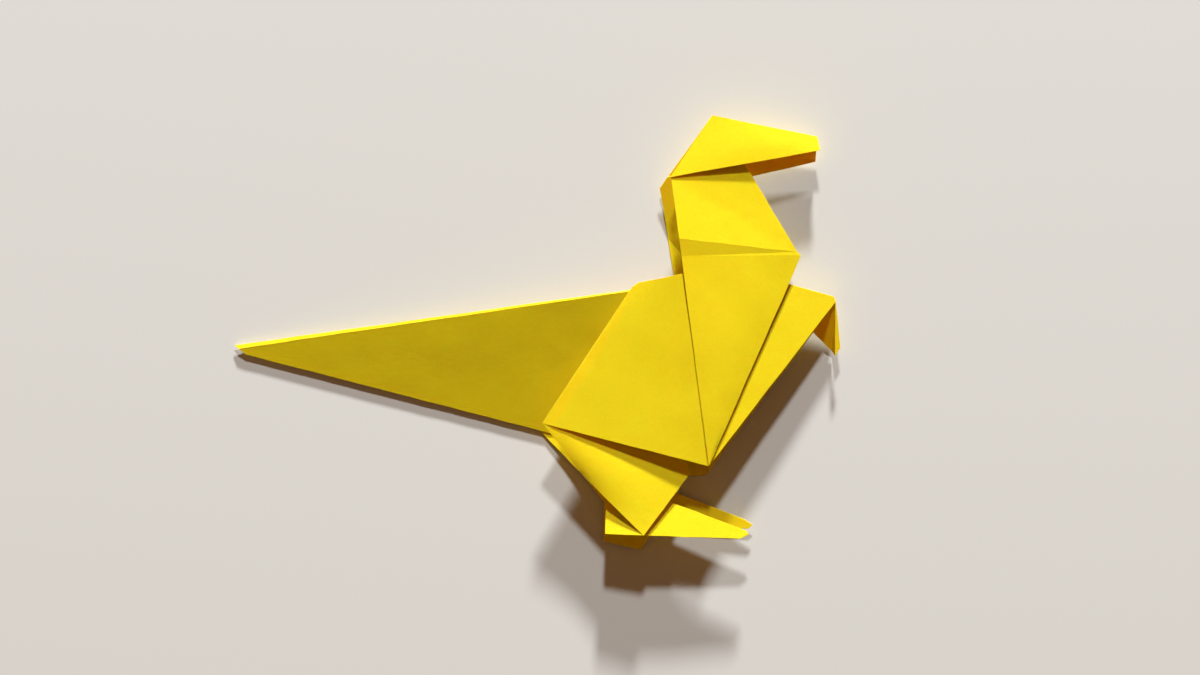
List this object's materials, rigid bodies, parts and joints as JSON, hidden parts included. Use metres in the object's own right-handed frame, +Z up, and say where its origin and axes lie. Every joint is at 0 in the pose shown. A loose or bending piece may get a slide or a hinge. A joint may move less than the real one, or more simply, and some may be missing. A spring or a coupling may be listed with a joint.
{
  "type": "origami dinosaur",
  "caption": "Dinosaur folded from one square of yellow paper, lying on its side, with a long pointed tail, bent neck, wedge head, short arm and crimped feet",
  "frame": {"origin": "centre of the plan box of the folded model, on the surface it lies on", "axes": "+X from the tail's tip towards the head and hand, +Y from the feet towards the crown, +Z up from the side it lies on"},
  "size_m": [0.1004, 0.072, 0.0072],
  "materials": {
    "yellow_paper": "plain matte coloured paper, the same yellow on both sides, with soft creases"
  },
  "bodies": {
    "root": {"folded_sheet": "yellow_paper"}
  },
  "joints": []
}
